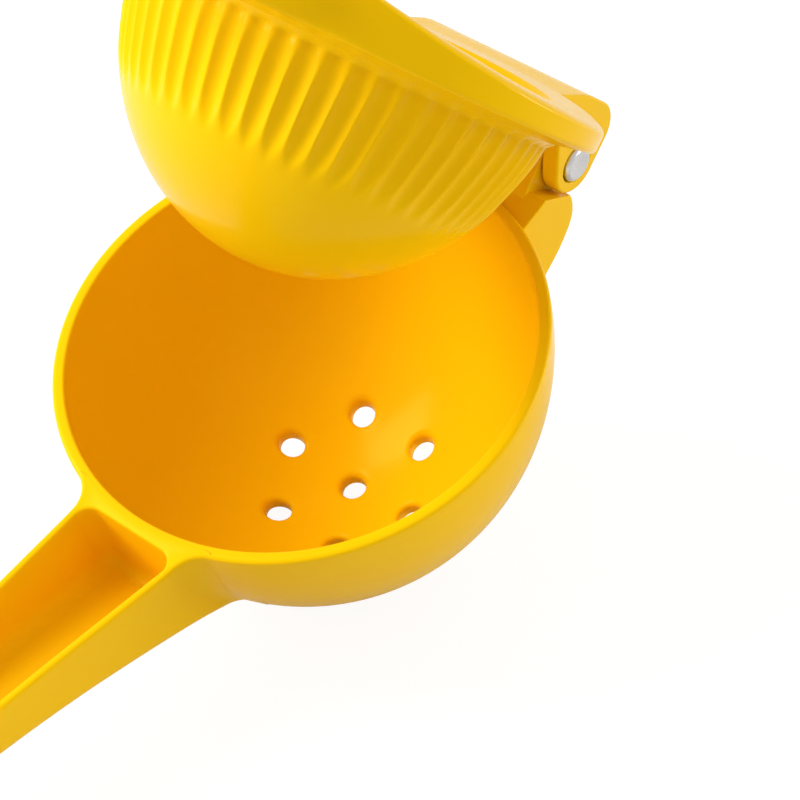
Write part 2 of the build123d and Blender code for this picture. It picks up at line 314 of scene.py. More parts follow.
bowl_rows = [border_ring(t, INNER_RIM, INNER_DEPTH) for t in np.linspace(0, 1, 8)]
bowl_rows += spun_wall(INNER_RIM, INNER_DEPTH, 89, 40)[1:]
bowl_rows += [circle_row(INNER_RIM + RIM_LIP_IN * off_cosine, even_angle, -RIM_LIP_IN * off_sine)
              for off_sine, off_cosine in quarter(np.linspace(0, 90, 6))]
bowl_rows += [circle_row(RIM - RIM_LIP_OUT * off_sine, even_angle, -RIM_LIP_OUT * off_cosine)
              for off_sine, off_cosine in quarter(np.linspace(0, 90, 8))]
bowl_rows += spun_wall(RIM, BOWL_DEPTH, 88.5, 44)[::-1]
bowl_rows += [border_ring(t, RIM, BOWL_DEPTH) for t in np.linspace(1, 0, 8)[1:]]
ring_grid = np.array(bowl_rows)
ring_grid = np.concatenate([ring_grid, ring_grid[:, :1]], axis=1)
bowl = skin("bowl_shell", [ring_grid] + cells, False)
wear(bowl, "lower", "bowl_half")

# %% [markdown]
# ## The lower handle
# The handle is a channel, open on top, with a wall that runs round it and flares where it meets
# the bowl. The way chosen is a stack of closed paths seen from above: the first runs along the
# underside's middle, the next ones climb the outside, cross the rounded top edge, go down inside
# the channel, and the last runs along the floor's middle. Each path has the same number of points,
# so the stack is one grid.

# %% Lines of the lower handle
SIDE_X = [43.5, 52.0, 62.6, 75.0, 95.0, 118.0, 140.0, 156.0]
SIDE_Y = [9.75, 9.1, 8.3, 7.6, 7.1, 7.1, 7.7, 8.2]
UNDER_X = [26.0, 33.0, 38.0, 43.0, 50.5, 58.0, 66.0, 76.4, 100.0, 135.0, 170.0]
UNDER_Z = [-24.0, -20.6, -18.0, -15.8, -12.8, -10.0, -7.3, -4.1, 1.9, 9.6, 16.4]
RISE_X = 40.6
RISE = math.tan(math.radians(11.0))
DECK_SOFTNESS = 0.01
ROOT_Y = 10.15
POCKET_X = 38.5


def deck_height(x):
    """Top of the lower handle: 0 by the bowl, then rising: half of v plus the root of v^2 and a bit."""
    v = (x - RISE_X) * RISE
    return 0.5 * (v + np.sqrt(v * v + DECK_SOFTNESS))


def under_height(x):
    """Underside of the lower handle, a curve through its knots."""
    return natural_curve(UNDER_X, UNDER_Z, x)


def half_width(x):
    """Half width of the lower handle, a curve through its knots."""
    return natural_curve([POCKET_X] + SIDE_X, [ROOT_Y] + SIDE_Y, x)


print("handle's height at its end", round(float(deck_height(TIP_X) - under_height(TIP_X)), 2))

# %% [markdown]
# ## Where the handle leaves the bowl
# Enamel and casting leave no sharp inner corner, so a round leads from the bowl's wall into the
# handle's side. Its middle lies at the same distance from both, which is found by trying a place,
# working out the next, and repeating. The path's first points hide inside the bowl's wall.

# %% The path outside the handle
ROOT_POINTS, FLARE_POINTS, SIDE_POINTS, TIP_POINTS = 14, 22, 73, 18
FLARE_ROUND = 5.2
FLARE_ROUND_PER_DEPTH = 0.05
WALL_CLEARANCE = 0.02
ROOT_LOOK = 0.93
ROOT_SUNK = 0.9
ROOT_REACH = 36.9
ROOT_FADE = 7.0
SIDE_FADE = 2.0
tip_angle = np.radians(np.linspace(90, 0, TIP_POINTS))[1:]


def fillet_to_side(radius, bend):
    """Middle of the round between the bowl's circle and the handle's side.

    It lies bend outside the side's line and at radius + bend from the bowl's axis."""
    slope = (SIDE_Y[1] - ROOT_Y) / (SIDE_X[1] - POCKET_X)
    x = radius + 3.0
    for _ in range(60):
        y = ROOT_Y + slope * (x - POCKET_X) + bend
        x = math.sqrt(max((radius + bend) ** 2 - y * y, 1.0))
    return x, ROOT_Y + slope * (x - POCKET_X) + bend


def outer_path(height, inset, rounding=0.0):
    """Path outside the handle for a row whose height is given along x: root, flare, side and tip.

    Inset moves the side inwards and fades at the root, where rounding takes over."""
    radius = RIM
    for _ in range(8):
        root_z = min(float(height(ROOT_LOOK * radius)), 0.0)
        radius = RIM * math.sqrt(1 - (root_z / BOWL_DEPTH) ** 2) - WALL_CLEARANCE
    bend = FLARE_ROUND + FLARE_ROUND_PER_DEPTH * root_z
    middle_x, middle_y = fillet_to_side(radius, bend)
    first = math.atan2(middle_y, middle_x)
    root = np.linspace(0, first, ROOT_POINTS)[:-1]
    turn = np.linspace(first + math.pi, 1.5 * math.pi, FLARE_POINTS)
    side_x = np.linspace(middle_x, SIDE_X[-1], SIDE_POINTS)[1:]
    flare_x = middle_x + bend * np.cos(turn)
    flare_y = middle_y + bend * np.sin(turn)
    side_y = half_width(side_x) + (flare_y[-1] - half_width(middle_x)) * np.exp(
        -(side_x - middle_x) / SIDE_FADE)
    tip_round = SIDE_Y[-1]
    x = np.concatenate([flare_x, side_x, TIP_X - tip_round * (1 - np.cos(tip_angle))])
    y = np.concatenate([flare_y, side_y, tip_round * np.sin(tip_angle)])
    share = np.exp(-np.arange(len(x)) / ROOT_FADE)
    move = inset * (1 - share) + rounding * share
    x, y = moved_square(x, y, move, (math.sin(first), -math.cos(first)))
    reach = min(radius - ROOT_SUNK, ROOT_REACH)
    x = np.concatenate([reach * np.cos(root), x])
    y = np.concatenate([reach * np.sin(root), y])
    y[0] = y[-1] = 0
    return x, y


print("points in a path", len(outer_path(deck_height, 0.0)[0]))

# %% [markdown]
# ## The channel
# Inside, the channel has an end wall towards the bowl, a rounded corner, a side that keeps its
# distance from the outside, and a round tip. It's drawn with as many points as the outer path, so
# that the rows match all the way from the underside to the channel's floor.

# %% The path inside the channel
CHANNEL_WALL = 1.3
CHANNEL_CORNER = 2.5
CORNER_LEAST = 0.3
END_WALL_SHARE = 0.8


def pocket_path(inset):
    """Path inside the channel: across its end wall, round the corner, along the side, round the tip.

    Its side is the handle's half width less the wall and the inset, and its rounds are quarters."""
    wall = CHANNEL_WALL + inset
    start_x = POCKET_X + inset * END_WALL_SHARE
    side_x = np.linspace(start_x + CHANNEL_CORNER, SIDE_X[-1], SIDE_POINTS + 2)
    side_y = half_width(side_x) - wall
    top_y = side_y[0]
    corner_low = max(top_y - CHANNEL_CORNER, CORNER_LEAST)
    across = np.linspace(0, corner_low, ROOT_POINTS)[:-1]
    turn = np.radians(np.linspace(0, 90, FLARE_POINTS - 2))[:-1]
    reach = top_y - corner_low
    corner_x = start_x + CHANNEL_CORNER * (1 - np.cos(turn))
    corner_y = top_y - reach + reach * np.sin(turn)
    tip_round = side_y[-1]
    x = np.concatenate([np.full(ROOT_POINTS - 1, start_x), corner_x, side_x,
                        TIP_X - wall - tip_round * (1 - np.cos(tip_angle))])
    y = np.concatenate([across, corner_y, side_y, tip_round * np.sin(tip_angle)])
    y[0] = y[-1] = 0
    return x, y


print("points in a path", len(pocket_path(0.0)[0]))

# %% [markdown]
# ## The lower handle's skin
# The wall stands at a slight draft, as it must to leave its mould. Its lower edge has a wide round
# and its upper edges narrow ones. By the bowl the upper edge takes the rim's own rounding, so that
# rim and handle run into each other.

# %% The stack of paths
BASE_ROUND = 2.4
EDGE_ROUND = 0.55
POCKET_ROUND = EDGE_ROUND * 0.8
DRAFT = math.tan(math.radians(2.5))
FLOOR = 3.0
FLOOR_ROUND = 2.6
POCKET_LEAN = 0.5
EDGE_SUPPORT = 0.04
LIP_CHANGE_X, LIP_CHANGE_SOFT = 44.0, 1.2
BASE_CHANGE_X, BASE_CHANGE_SOFT = 42.0, 1.0


def lip_height(x):
    """Rounding of the upper edge: the rim's by the bowl, then the handle's own."""
    return EDGE_ROUND + (RIM_LIP_OUT - EDGE_ROUND) * ahead_of(x, LIP_CHANGE_X, LIP_CHANGE_SOFT)


def lower_handle_grid():
    """Rows from the underside's middle line, up and over the wall, to the floor's middle line."""
    rows = []
    base_x, base_y = outer_path(under_height, BASE_ROUND + 1.0)
    by_bowl = ahead_of(base_x, BASE_CHANGE_X, BASE_CHANGE_SOFT)
    for share in (0.0, 0.5):
        same_reach = np.sqrt(base_x**2 + base_y**2 * (1 - share**2))
        x = base_x * (1 - by_bowl) + same_reach * by_bowl
        rows.append(row_of(x, base_y * share, under_height(x)))
    tall = deck_height(60.0) - under_height(60.0)

    def row(height, inset, rounding=0.0):
        """A row on the outer path, at the height that is given along x."""
        x, y = outer_path(height, inset, rounding)
        rows.append(row_of(x, y, height(x)))

    for off_sine, off_cosine in quarter(np.linspace(0, 90, 9)):
        row(lambda x: under_height(x) + BASE_ROUND * off_cosine, DRAFT * tall + BASE_ROUND * off_sine)
    for t in np.linspace(0, 1, 14)[1:]:
        row(lambda x: (under_height(x) + BASE_ROUND) * (1 - t) + (deck_height(x) - lip_height(x)) * t,
            DRAFT * tall * (1 - t))
    for off_sine, off_cosine in quarter(FIVE_TURNS):
        row(lambda x: deck_height(x) - lip_height(x) * off_sine, EDGE_ROUND * off_cosine, RIM_LIP_OUT * off_cosine)
    x, y = pocket_path(-POCKET_ROUND)
    x = rows[-1][:, 0] * (1 - EDGE_SUPPORT) + x * EDGE_SUPPORT
    y = rows[-1][:, 1] * (1 - EDGE_SUPPORT) + y * EDGE_SUPPORT
    rows.append(row_of(x, y, deck_height(x)))
    for off_sine, off_cosine in quarter([90, 67, 45, 22, 0]):
        x, y = pocket_path(-POCKET_ROUND * off_cosine)
        rows.append(row_of(x, y, deck_height(x) - POCKET_ROUND * off_sine))
    for t in np.linspace(0, 1, 8)[1:]:
        x, y = pocket_path(POCKET_LEAN * t)
        foot = under_height(x) + FLOOR + FLOOR_ROUND
        rows.append(row_of(x, y, (deck_height(x) - EDGE_ROUND) * (1 - t) + foot * t))
    for off_sine, off_cosine in quarter([20, 40, 60, 75, 90]):
        x, y = pocket_path(POCKET_LEAN + FLOOR_ROUND * off_cosine)
        rows.append(row_of(x, y, under_height(x) + FLOOR + FLOOR_ROUND * off_sine))
    x, y = pocket_path(POCKET_LEAN + FLOOR_ROUND)
    rows += [row_of(x, y * share, under_height(x) + FLOOR) for share in (0.66, 0.33, 0.0)]
    return np.array(rows)


lower_handle = skin("lower_handle", both_sides(lower_handle_grid()), False)
wear(lower_handle, "lower", "bowl_half")

# %% [markdown]
# ## The press cup
# The cup that pushes the lemon is a half ellipsoid with a ring of grooves down its side. Each
# groove is a straight round cut, so its depth at any point is known: how far the dome stands
# outside the cutter's lowest line, less the rise of the cutter's own round section. Lowering the
# dome by that depth, with a soft change where it reaches zero, gives edges that look enamelled.

# %% The press cup
DOME = 31.75
DOME_DEPTH = 36.2
DOME_MIDDLE = 5.0
CUP_WALL = 2.6
CUP_TOP = 2.1
CUP_FILLET = 1.1
FLUTES = 53
FLUTE_PHASE = math.radians(-0.77)
FLUTE_RADIUS = 1.55
FLUTE_DEPTH = 0.62
FLUTE_LOW = -15.0
FLUTE_END = -18.0
CUT_SOFTNESS = 0.04
RUN_OUT_STRETCH = 3
GROOVES_END = -17.0
STEPS_PER_FLUTE = 14


def dome_radius(z):
    """Radius of the dome at a height: full radius times the root of 1 - ((z - middle) / depth)^2."""
    share = np.clip(1 - ((z - DOME_MIDDLE) / DOME_DEPTH) ** 2, 0, None)
    return DOME * np.sqrt(share)


def flute_cut(angle, z):
    """Depth of the grooves: dome's distance from the cutter's line less s^2 / 2R, never negative."""
    pitch = 2 * math.pi / FLUTES
    off = (angle - FLUTE_PHASE + pitch / 2) % pitch - pitch / 2
    across = off * dome_radius(z)
    top_line = dome_radius(0.0) - FLUTE_DEPTH
    low_line = dome_radius(FLUTE_LOW)
    line = top_line + (low_line - top_line) * np.clip(z / FLUTE_LOW, 0, None)
    beyond = np.clip(z, 0, None)
    cut = dome_radius(z) - line - (across**2 + beyond**2 / RUN_OUT_STRETCH) / (2 * FLUTE_RADIUS)
    return 0.5 * (cut + np.sqrt(cut * cut + CUT_SOFTNESS)) * (z > FLUTE_END)


def press_cup_grid():
    """Rows from the root under the flange down the grooved side to the nose.

    The root is a quarter turn outwards, over which the grooves fade in; equal turns end the dome."""
    steps = FLUTES * STEPS_PER_FLUTE
    angle = FLUTE_PHASE + np.arange(steps + 1) * 2 * math.pi / steps
    rows = []
    for beta in np.radians([0, 20, 40, 60, 75]):
        z = CUP_TOP - CUP_FILLET * math.sin(beta)
        cut = flute_cut(angle, z) * math.sin(beta) ** 2
        rows.append(circle_row(dome_radius(z) + CUP_FILLET * (1 - math.sin(beta)) - cut, angle, z))
    last_turn = math.acos((DOME_MIDDLE - GROOVES_END + 0.4) / DOME_DEPTH)
    nose = DOME_MIDDLE - DOME_DEPTH * np.cos(np.linspace(last_turn, 0, 40)[1:])
    for z in np.concatenate([np.linspace(0.95, GROOVES_END, 62), nose]):
        rows.append(circle_row(dome_radius(z) - flute_cut(angle, z), angle, z))
    rows[-1][:, :2] = 0
    return np.array(rows)


press_cup = skin("press_cup", [press_cup_grid()], True)
wear(press_cup, "upper", "plunger_half")

# %% [markdown]
# ## Lines of the flange and the upper handle
# The top of the plunger half is one flowing surface: a low crown round the cup's mouth that runs
# out along the handle. Four lines rule it, each a height along X: the upper edge, the crest, the
# lower edge, and the handle's half width.

# %% Heights and widths of the upper half
TOP_SIDE_X = [20.0, 30.0, 36.0, 41.0, 48.0, 58.0, 75.0, 95.0, 118.0, 140.0, 156.0]
TOP_SIDE_Y = [28.0, 20.5, 15.0, 12.0, 10.4, 9.4, 8.6, 8.1, 8.0, 8.4, 8.8]
EDGE_X = [-20.0, -8.0, 2.0, 10.0, 17.0, 23.5, 29.0, 34.0, 41.0, 50.0, 75.0, 100.0, 135.0, 170.0]
EDGE_Z = [6.8, 6.8, 6.85, 7.05, 7.6, 8.4, 9.6, 11.2, 13.5, 16.0, 22.4, 28.8, 38.0, 47.2]
CREST_X = [-42.0, -38.0, -34.0, -30.0, -22.0, -13.0, 0.0, 8.0, 13.0, 18.0, 24.0, 30.0, 36.0, 41.0, 50.0, 75.0]
CREST_Z = [9.9, 9.3, 8.8, 8.4, 7.7, 7.3, 7.3, 7.55, 7.85, 8.3, 9.1, 10.35, 11.95, 13.8, 16.3, 22.6]
LOW_X = [42.0, 48.0, 54.0, 62.0, 75.0, 100.0, 135.0, 170.0]
LOW_Z = [3.0, 3.4, 4.6, 6.8, 10.6, 18.0, 28.6, 39.2]
FLANGE_LOW = 3.0
CREST_END = 74.0


def edge_height(x):
    """Height of the flange's and the handle's upper edge, level up to its first knot."""
    return natural_curve(EDGE_X, EDGE_Z, np.maximum(x, EDGE_X[0]))


def crest_height(x):
    """Height of the crown and of the handle's middle, which ends level with the edge at the tip."""
    crest = natural_curve(CREST_X, CREST_Z, np.minimum(x, CREST_X[-1]))
    return np.where(x < CREST_END, crest, edge_height(x) + HAIR)


def low_height(x):
    """Height of the flange's underside at its lip, and of the handle wall's lower edge."""
    return np.where(x < LOW_X[0], FLANGE_LOW, natural_curve(LOW_X, LOW_Z, np.maximum(x, LOW_X[0])))


def side_of_top(x):
    """Half width of the upper handle, a curve through its knots."""
    return natural_curve(TOP_SIDE_X, TOP_SIDE_Y, x)


print("crest over the edge at the hinge", round(float(crest_height(-38.0) - edge_height(-38.0)), 2))

# %% [markdown]
# ## Two lines to hang the top between
# The outer line follows the flange's circle and then the handle's edge. The inner line follows the
# mouth and then the handle's middle. Both have the same number of points, so each pair spans one
# column. Where circle and handle meet, a few rounds of averaging with the neighbours blend them.

# %% The outline and the inner line
MOUTH = 29.6
MOUTH_ROUND = 0.5
ARC_STEPS, FLARE_STEPS, SIDE_COUNT, TIP_STEPS, ROOT_STEPS = 110, 24, 70, 18, 22
FLARE_END = 52.0
LAST_MOUTH_ANGLE = math.radians(14)
cross = np.linspace(30, 36, 600)
cross_x = cross[np.argmin(np.abs(cross**2 + side_of_top(cross) ** 2 - RIM**2))]
FLARE_ANGLE = math.atan2(side_of_top(cross_x), cross_x)
arc_turn = np.linspace(math.pi, FLARE_ANGLE, ARC_STEPS)
flare_x = np.linspace(cross_x, FLARE_END, FLARE_STEPS + 1)[1:]
side_x = np.linspace(FLARE_END, TOP_SIDE_X[-1], SIDE_COUNT + 1)[1:]
tip_turn = np.radians(np.linspace(90, 0, TIP_STEPS + 1))[1:]
tip_round = TOP_SIDE_Y[-1]
long_x = np.concatenate([flare_x, side_x, TIP_X - tip_round * (1 - np.cos(tip_turn))])
long_y = np.concatenate([side_of_top(np.concatenate([flare_x, side_x])), tip_round * np.sin(tip_turn)])
outline = np.array([np.concatenate([RIM * np.cos(arc_turn), long_x]),
                    np.concatenate([RIM * np.sin(arc_turn), long_y])])
outline[1, [0, -1]] = 0
near = np.arange(ARC_STEPS - 8, ARC_STEPS + 7)
for _ in range(6):
    outline[:, near] = (outline[:, near - 1] + 2 * outline[:, near] + outline[:, near + 1]) / 4
outline_x, outline_y = outline
mouth_turn = np.concatenate([np.linspace(math.pi, LAST_MOUTH_ANGLE, ARC_STEPS),
                             np.linspace(LAST_MOUTH_ANGLE, 0, FLARE_STEPS + 1)[1:]])
middle_x = MOUTH + (TIP_X - MOUTH) * np.linspace(0, 1, SIDE_COUNT + TIP_STEPS + 1)[1:] ** 1.15
middle_x = middle_x + MOUTH_ROUND * (TIP_X - middle_x) / (TIP_X - MOUTH)
inner_x = np.concatenate([(MOUTH + MOUTH_ROUND) * np.cos(mouth_turn), middle_x])
inner_y = np.concatenate([(MOUTH + MOUTH_ROUND) * np.sin(mouth_turn), middle_x * 0])
inner_y[0] = inner_y[ARC_STEPS + FLARE_STEPS - 1] = 0
print("points in the outline", len(outline_x), "and in the inner line", len(inner_x))

# %% [markdown]
# ## The crown, the edge and the side
# From the outline the top climbs to the crown as a quarter of an ellipse: steep at the edge and
# level at the crest, which is the soft shoulder that catches a long light. The climb is wide on
# the flange and narrow on the handle. The side then drops straight and turns in under itself.

# %% The top, the flange's edge and the handle's side as one grid
TOP_ROUND = 0.8
LOW_ROUND = 0.8
HANDLE_SHOULDER = 1.2
FLANGE_SHOULDER = 3.6
HINGE_SHOULDER_LESS = 2.0
FLANGE_CHANGE_X, FLANGE_CHANGE_SOFT = 34.0, 4.0
HINGE_CHANGE_X, HINGE_CHANGE_SOFT = -20.0, 3.0


def inset_outline(inset):
    """The outline moved inwards, square to itself."""
    return moved_square(outline_x, outline_y, inset, (0, 1))


def top_height(x, away, low):
    """Height that climbs from the low line at the outline to the crown as a quarter of an ellipse:

    low + climb times the root of 1 - near^2, where near falls from 1 to 0 over the shoulder."""
    shoulder = (HANDLE_SHOULDER + FLANGE_SHOULDER * ahead_of(x, FLANGE_CHANGE_X, FLANGE_CHANGE_SOFT)
                - HINGE_SHOULDER_LESS * ahead_of(x, HINGE_CHANGE_X, HINGE_CHANGE_SOFT))
    near = np.clip(1 - away / shoulder, 0, 1)
    return low + (crest_height(x) - low) * np.sqrt(1 - near**2)


def top_and_side_grid():
    """Rows from the mouth over the crown, down the side and round the lower edge.

    The first rows crowd towards the outline as the sine of an even turn."""
    rows = []
    low = edge_height(outline_x) - TOP_ROUND
    for t in np.sin(np.linspace(0, math.pi / 2, 30)):
        x = inner_x * (1 - t) + outline_x * t
        y = inner_y * (1 - t) + outline_y * t
        away = np.hypot(outline_x - x, outline_y - y)
        rows.append(row_of(x, y, top_height(x, away, low)))
    low_rim = low_height(inset_outline(LOW_ROUND)[0])
    for t in np.linspace(0, 1, 8)[1:]:
        rows.append(row_of(outline_x, outline_y, low * (1 - t) + (low_rim + LOW_ROUND) * t))
    for off_sine, off_cosine in quarter(FIVE_TURNS):
        rows.append(row_of(*inset_outline(LOW_ROUND * off_cosine), low_rim + LOW_ROUND * off_sine))
    return np.array(rows)


top_grid = top_and_side_grid()
print("rows and columns of the top", top_grid.shape[:2])

# %% [markdown]
# ## The undersides
# Below, the flange is a plain ring that ends inside the cup's wall, and the handle is a trough
# with a wall as thick as the casting needs. The ring ends and the trough begins on the same short
# arc under the root, and it is kept in both grids so that the two merge.

# %% The flange's underside and the handle's hollow
CUP_ROOT = 31.2
FLANGE_IN = 1.75
HANDLE_WALL = 1.9
HANDLE_ROOF = 2.4
HOLLOW_CORNER = 2.5
HOLLOW_X = 40.5
HOLLOW_LIP = 0.5
HOLLOW_LEAN = 0.35
HOLLOW_ROUND = 1.2
lip_x, lip_y = inset_outline(LOW_ROUND)
root_turn = np.linspace(0, math.atan2(lip_y[ARC_STEPS - 1], lip_x[ARC_STEPS - 1]), ROOT_STEPS)
root_reach = math.hypot(lip_x[ARC_STEPS - 1], lip_y[ARC_STEPS - 1])


def flange_under_grid():
    """Rows from the flange's lip in to the dome's root, straight lines that fall slightly."""
    x = np.concatenate([lip_x[:ARC_STEPS], root_reach * np.cos(root_turn[::-1])[1:]])
    y = np.concatenate([lip_y[:ARC_STEPS], root_reach * np.sin(root_turn[::-1])[1:]])
    y[-1] = 0
    reach = np.hypot(x, y)
    rows = []
    for t in np.linspace(0, 1, 6):
        new = reach * (1 - t) + CUP_ROOT * t
        rows.append(row_of(x / reach * new, y / reach * new, FLANGE_LOW * (1 - t) + FLANGE_IN * t))
    return np.array(rows)


def hollow_path(inset):
    """Path inside the hollow: across its end, round the corner, along the side, round the tip.

    Its side is the handle's half width less the wall and the inset, and its rounds are quarters."""
    begin = HOLLOW_X + inset
    end = TIP_X - HANDLE_WALL - inset
    along = np.linspace(begin + HOLLOW_CORNER, TOP_SIDE_X[-1], FLARE_STEPS + SIDE_COUNT - 12)
    half = side_of_top(along) - HANDLE_WALL - inset
    turn = np.radians(np.linspace(0, 90, 14))[:-1]
    across = np.linspace(0, half[0] - HOLLOW_CORNER, ROOT_STEPS)[:-1]
    x = np.concatenate([np.full(ROOT_STEPS - 1, begin), begin + HOLLOW_CORNER * (1 - np.cos(turn)), along,
                        end - half[-1] * (1 - np.cos(tip_turn))])
    y = np.concatenate([across, half[0] - HOLLOW_CORNER + HOLLOW_CORNER * np.sin(turn), half,
                        half[-1] * np.sin(tip_turn)])
    y[0] = y[-1] = 0
    return x, y


def handle_under_grid():
    """Rows from the wall's lower edge, across its thickness, up inside and over the roof's middle."""
    x = np.concatenate([root_reach * np.cos(root_turn)[:-1], lip_x[ARC_STEPS - 1:]])
    y = np.concatenate([root_reach * np.sin(root_turn)[:-1], lip_y[ARC_STEPS - 1:]])
    y[0] = 0
    rows = [row_of(x, y, low_height(x))]
    for off_sine, off_cosine in quarter([90, 60, 30, 0]):
        x, y = hollow_path(-HOLLOW_LIP * off_cosine)
        rows.append(row_of(x, y, low_height(x) + HOLLOW_LIP * off_sine))
    for t in np.linspace(0, 1, 8)[1:]:
        x, y = hollow_path(HOLLOW_LEAN * t)
        low = low_height(x) + HOLLOW_LIP
        high = edge_height(x) - HANDLE_ROOF - HOLLOW_ROUND
        rows.append(row_of(x, y, low * (1 - t) + high * t))
    for off_sine, off_cosine in quarter([22, 45, 67, 90]):
        x, y = hollow_path(HOLLOW_LEAN + HOLLOW_ROUND * off_cosine)
        rows.append(row_of(x, y, edge_height(x) - HANDLE_ROOF - HOLLOW_ROUND * off_sine))
    x, y = hollow_path(HOLLOW_LEAN + HOLLOW_ROUND)
    rows += [row_of(x, y * share, edge_height(x) - HANDLE_ROOF) for share in (0.6, 0.3, 0.0)]
    return np.array(rows)


print("the ring and the trough meet at", round(root_reach, 2))

# %% [markdown]
# ## The cup's hollow
# The cup is cast hollow and open on top. Its inside starts from the very points where the crown
# ends, so the mouth's edge shades as one round, and closes in a pole at the inner nose.

# %% The cup's hollow, and the whole skin
def cup_hollow_grid(lip):
    """Rows from the crown's inner line, round the mouth's edge, down the wall, to the inner nose.

    The bowl of the hollow is an ellipsoid: radius times the sine of a turn, depth times its cosine."""
    rows = [lip]
    for off_sine, off_cosine in quarter([22, 45, 67, 90]):
        rows.append(circle_row(MOUTH + MOUTH_ROUND * off_sine, mouth_turn, lip[:, 2] - MOUTH_ROUND * off_cosine))
    wall_top = rows[-1][:, 2]
    inner_radius, inner_depth = DOME - CUP_WALL, DOME_DEPTH - CUP_WALL
    for t in np.linspace(0, 1, 5)[1:]:
        rows.append(circle_row(MOUTH * (1 - t) + inner_radius * t, mouth_turn, wall_top * (1 - t) + DOME_MIDDLE * t))
    for turn in np.radians(np.linspace(90, 0, 44))[1:]:
        rows.append(circle_row(inner_radius * math.sin(turn), mouth_turn,
                               DOME_MIDDLE - inner_depth * math.cos(turn)))
    grid = np.array(rows)
    grid[:, 0, 1] = grid[:, -1, 1] = 0
    grid[-1, :, :2] = 0
    return grid


hollow_grid = cup_hollow_grid(top_grid[0, :ARC_STEPS + FLARE_STEPS])
grids = []
for half_grid in (top_grid, flange_under_grid(), handle_under_grid(), hollow_grid):
    grids += both_sides(half_grid)
plunger_top = skin("flange_and_handle", grids, True)
wear(plunger_top, "upper", "plunger_half")

# %% [markdown]
# ## Flat castings
# Ears, lug and bracket are flat castings with straight sides, so each is a side view drawn as a
# closed line and carried straight across. A bevel of three steps then rounds every true edge,
# which is how thick enamel leaves it. A formula surface would gain nothing on flat faces. A mesh
# face can't have a hole, so the ears' ends are two faces each, which meet left and right of it.

# %% From a side view to a casting
RING_STEPS = 48
EDGE_BEVEL = 0.6
BEVEL_ANGLE = math.radians(35)
WALL_MIDDLE = 37.0
WALL_MIDDLE_DEPTH = 41.8
BRACKET_ROOT = -35.0


def arc_points(middle, radius, first, last, count):
    """Points on an arc in the side view: middle plus radius times the cosine and sine, in degrees."""
    turn = np.radians(np.linspace(first, last, count))
    return np.stack([middle[0] + radius * np.cos(turn), middle[1] + radius * np.sin(turn)], axis=-1)


def hull(points):
    """Convex outline: the points that lie furthest in some direction, in order of the directions."""
    turn = np.radians(np.arange(0, 360, 0.05))
    furthest = np.argmax(points @ np.stack([np.cos(turn), np.sin(turn)]), axis=0)
    first_seen = np.sort(np.unique(furthest, return_index=True)[1])
    return points[furthest[first_seen]]


def at_both(outline, low_y, high_y):
    """The side view's points at one y, and again at another."""
    return np.concatenate([np.insert(outline, 1, y, axis=1) for y in (low_y, high_y)])


def slab(outline, low_y, high_y, hole=None):
    """Points and faces of an outline carried from one y to another, with a round hole if given."""
    count = len(outline)
    points = at_both(outline, low_y, high_y)
    faces = grid_faces(2, count, wrap=True).tolist()
    if hole is None:
        return points, faces + [list(range(count))[::-1], list(range(count, 2 * count))]
    ring = arc_points(*hole, 0, 360, RING_STEPS + 1)[:-1]
    start = len(points)
    points = np.concatenate([points, at_both(ring, low_y, high_y)])
    faces += (grid_faces(2, RING_STEPS, wrap=True) + start).tolist()
    right = int(np.argmin(np.hypot(*(outline - hole[0] - 30).T)))
    left = int(np.argmin(outline[:, 0] + 0.001 * abs(outline[:, 1])))
    ring_right = int(np.argmin(np.hypot(*(ring - outline[right]).T)))
    ring_left = int(np.argmin(np.hypot(*(ring - outline[left]).T)))
    for level, shift in ((0, start), (count, start + RING_STEPS)):
        for here, there, ring_there, ring_here in ((right, left, ring_left, ring_right),
                                                   (left, right, ring_right, ring_left)):
            walk = [level + (here + i) % count for i in range((there - here) % count + 1)]
            back = [shift + (ring_there - i) % RING_STEPS
                    for i in range((ring_there - ring_here) % RING_STEPS + 1)]
            faces.append(walk + back)
    return points, faces


def hugging_slab(outline, reach_y, steps):
    """A slab whose points past BRACKET_ROOT move into the middle of the bowl's wall at each step:

    x becomes minus the root of wall radius squared less y squared."""
    x, y = np.meshgrid(outline[:, 0], np.linspace(-reach_y, reach_y, steps))
    z = np.broadcast_to(outline[:, 1], x.shape)
    wall = WALL_MIDDLE * np.sqrt(1 - (z / WALL_MIDDLE_DEPTH) ** 2)
    x = np.where(x > BRACKET_ROOT, -np.sqrt(wall**2 - y**2), x)
    count = len(outline)
    ends = [list(range(count))[::-1], list(range((steps - 1) * count, steps * count))]
    return np.stack([x, y, z], axis=-1).reshape(-1, 3), grid_faces(steps, count, wrap=True).tolist() + ends


def casting(name, slabs, opened):
    """One object from several slabs, with every edge sharper than BEVEL_ANGLE rounded."""
    points, faces, start = [], [], 0
    for slab_points, slab_faces in slabs:
        points.append(slab_points)
        faces += [[i + start for i in face] for face in slab_faces]
        start += len(slab_points)
    piece = outward_piece(name, placed(np.concatenate(points), opened), faces, False)
    bevel = piece.modifiers.new("enamelled edges", "BEVEL")
    bevel.width = EDGE_BEVEL / 1000
    bevel.segments = 3
    bevel.limit_method = "ANGLE"
    bevel.angle_limit = BEVEL_ANGLE
    bevel.harden_normals = True
    return piece


# %% [markdown]
# ## The hinge block
# Two ears reach down from the plunger half and take the pin, and a solid bridge joins them above.
# Its top starts level and ramps down to the flange. The bridge is a hair lower than the ears, so
# that no two faces lie in one plane and flicker.

